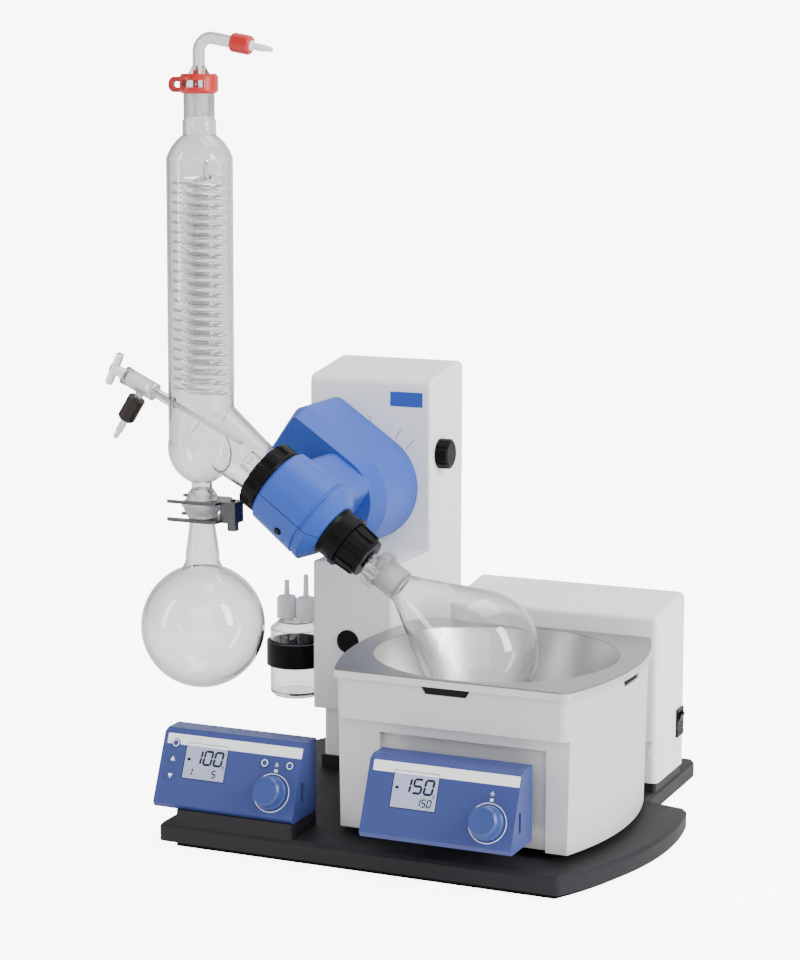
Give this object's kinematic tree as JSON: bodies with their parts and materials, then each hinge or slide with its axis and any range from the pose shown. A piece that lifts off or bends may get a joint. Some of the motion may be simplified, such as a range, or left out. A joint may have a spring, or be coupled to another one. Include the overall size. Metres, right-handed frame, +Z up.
{
  "type": "rotary evaporator",
  "caption": "Bench rotary evaporator: lift tower with a tilting drive head, upright coil condenser, receiving and evaporating flasks, heated bath and two operating consoles on a base plate.",
  "frame": {"origin": "middle of the base's underside, on the bench", "axes": "+Z up, +X to the operator's right, +Y to the back"},
  "size_m": [0.6228, 0.4879, 0.8132],
  "materials": {
    "blue_plastic": "satin",
    "white_paint": "satin",
    "bath_grey": "satin",
    "anthracite": "satin",
    "rubber_black": "matte",
    "black_plastic": "satin",
    "grey_plastic": "satin",
    "white_plastic": "satin",
    "red_plastic": "gloss",
    "brown_plastic": "satin",
    "clear_glass": "polished",
    "clear_plastic": "gloss",
    "lcd_window": "gloss",
    "bright_steel": "brushed",
    "dark_steel": "satin"
  },
  "bodies": {
    "base": {"base_plate": "anthracite", "foot_skirt": "rubber_black", "rear_plinths": "anthracite", "lift_column": "white_paint", "guide_rods": "bright_steel", "power_box": "white_paint", "switch_frame": "black_plastic", "mains_inlet": "black_plastic", "drive_console": "blue_plastic", "drive_display": "lcd_window"},
    "lift": {"tower_housing": "white_paint", "lift_carriage": "dark_steel", "front_plug": "black_plastic", "trap_clip": "black_plastic", "trap_bottle": "clear_glass", "trap_caps": "white_plastic"},
    "head": {"head_upper_shell": "blue_plastic", "head_lower_shell": "blue_plastic", "pivot_shaft": "dark_steel", "drive_motor": "dark_steel", "hub_bearings": "bright_steel", "condenser": "clear_glass", "cooling_coils": "clear_glass", "socket_clip": "red_plastic", "vacuum_elbow": "clear_glass", "elbow_cap": "red_plastic", "vent_cap": "brown_plastic", "hose_nozzles": "white_plastic", "feed_tube": "white_plastic", "receiver_flask": "clear_glass", "ball_clamp": "dark_steel"},
    "spin": {"hub_sleeve": "black_plastic", "vapour_tube": "clear_glass", "flask_clip": "clear_plastic", "evaporating_flask": "clear_glass"},
    "bath": {"bath_casing": "bath_grey", "bath_bowl": "bright_steel", "bath_heater": "dark_steel", "bath_feet": "rubber_black", "bath_console": "blue_plastic", "bath_display": "lcd_window"},
    "lift_spindle": {"lift_spindle": "bright_steel"},
    "power_rocker": {"power_rocker": "black_plastic"},
    "drive_knob_shaft": {"drive_knob_shaft": "bright_steel"},
    "drive_knob": {"drive_knob": "blue_plastic"},
    "timer_key": {"timer_key": "blue_plastic"},
    "mode_key": {"mode_key": "blue_plastic"},
    "set_key": {"set_key": "blue_plastic"},
    "up_key": {"up_key": "blue_plastic"},
    "down_key": {"down_key": "blue_plastic"},
    "bath_knob_shaft": {"bath_knob_shaft": "bright_steel"},
    "bath_knob": {"bath_knob": "blue_plastic"},
    "bath_rocker": {"bath_rocker": "grey_plastic"},
    "lock_knob": {"lock_knob": "black_plastic"},
    "ring_nut": {"ring_nut": "black_plastic"},
    "stopcock_key": {"stopcock_key": "white_plastic"},
    "clamp_screw": {"clamp_screw": "dark_steel"},
    "clamp_nut": {"clamp_nut": "black_plastic"},
    "lock_button": {"lock_button": "black_plastic"}
  },
  "joints": [
    {"name": "lift_travel", "type": "slide", "parent": "base", "child": "lift", "axis": [0, 0, 1], "range_m": [0, 0.14]},
    {"name": "spindle_turn", "type": "hinge", "parent": "base", "child": "lift_spindle", "pos_m": [-0.1335, 0.174, 0.046], "axis": [0, 0, 1], "range_deg": [0, 5040]},
    {"name": "head_tilt", "type": "hinge", "parent": "lift", "child": "head", "pos_m": [-0.1623, 0.127, 0.3212], "axis": [0, 1, 0], "range_deg": [-34.5, 5.5]},
    {"name": "flask_spin", "type": "hinge", "parent": "head", "child": "spin", "pos_m": [-0.15465, -0.064, 0.33233], "axis": [0.8241, 0, -0.5664], "continuous": true},
    {"name": "ring_nut_turn", "type": "hinge", "parent": "head", "child": "ring_nut", "pos_m": [-0.19174, -0.064, 0.35781], "axis": [0.8241, 0, -0.5664], "range_deg": [0, 90]},
    {"name": "clamp_nut_turn", "type": "hinge", "parent": "spin", "child": "clamp_nut", "pos_m": [-0.08872, -0.064, 0.28701], "axis": [0.8241, 0, -0.5664], "range_deg": [0, 90]},
    {"name": "stopcock_turn", "type": "hinge", "parent": "head", "child": "stopcock_key", "pos_m": [-0.35262, -0.064, 0.45188], "axis": [-0.9056, 0, 0.4242], "continuous": true},
    {"name": "clamp_screw_turn", "type": "hinge", "parent": "head", "child": "clamp_screw", "pos_m": [-0.2315, -0.064, 0.302], "axis": [0, 0, 1], "continuous": true},
    {"name": "lock_button_press", "type": "slide", "parent": "head", "child": "lock_button", "axis": [0.3085, 0.8387, 0.4489], "range_m": [0, 0.0018], "stiffness_N_per_m": 1500},
    {"name": "lock_knob_turn", "type": "hinge", "parent": "lift", "child": "lock_knob", "pos_m": [-0.087, 0.153, 0.357], "axis": [1, 0, 0], "range_deg": [0, 90]},
    {"name": "bath_shift", "type": "slide", "parent": "base", "child": "bath", "axis": [1, 0, 0], "range_m": [-0.008, 0.012]},
    {"name": "drive_knob_press", "type": "slide", "parent": "base", "child": "drive_knob_shaft", "axis": [0, 0.9205, -0.3907], "range_m": [0, 0.001], "stiffness_N_per_m": 2000},
    {"name": "drive_knob_turn", "type": "hinge", "parent": "drive_knob_shaft", "child": "drive_knob", "pos_m": [-0.116, -0.21182, 0.06763], "axis": [0, -0.9205, 0.3907], "continuous": true},
    {"name": "bath_knob_press", "type": "slide", "parent": "bath", "child": "bath_knob_shaft", "axis": [0, 0.9205, -0.3907], "range_m": [0, 0.001], "stiffness_N_per_m": 2000},
    {"name": "bath_knob_turn", "type": "hinge", "parent": "bath_knob_shaft", "child": "bath_knob", "pos_m": [0.1245, -0.24282, 0.07563], "axis": [0, -0.9205, 0.3907], "continuous": true},
    {"name": "timer_key_press", "type": "slide", "parent": "base", "child": "timer_key", "axis": [0, 0.9205, -0.3907], "range_m": [0, 0.0005], "stiffness_N_per_m": 3000},
    {"name": "up_key_press", "type": "slide", "parent": "base", "child": "up_key", "axis": [0, 0.9205, -0.3907], "range_m": [0, 0.0005], "stiffness_N_per_m": 3000},
    {"name": "down_key_press", "type": "slide", "parent": "base", "child": "down_key", "axis": [0, 0.9205, -0.3907], "range_m": [0, 0.0005], "stiffness_N_per_m": 3000},
    {"name": "mode_key_press", "type": "slide", "parent": "base", "child": "mode_key", "axis": [0, 0.9205, -0.3907], "range_m": [0, 0.0005], "stiffness_N_per_m": 3000},
    {"name": "set_key_press", "type": "slide", "parent": "base", "child": "set_key", "axis": [0, 0.9205, -0.3907], "range_m": [0, 0.0005], "stiffness_N_per_m": 3000},
    {"name": "power_rocker_tip", "type": "hinge", "parent": "base", "child": "power_rocker", "pos_m": [0.189, 0.1545, 0.085], "axis": [0, 1, 0], "range_deg": [-16, 0]},
    {"name": "bath_rocker_tip", "type": "hinge", "parent": "bath", "child": "bath_rocker", "pos_m": [0.18932, 0.04131, 0.082], "axis": [-0.3091, 0.951, 0], "range_deg": [-16, 0]}
  ],
  "couplings": [
    {"joint": "spindle_turn", "follows": "lift_travel", "rad_per_m": 628.32}
  ]
}
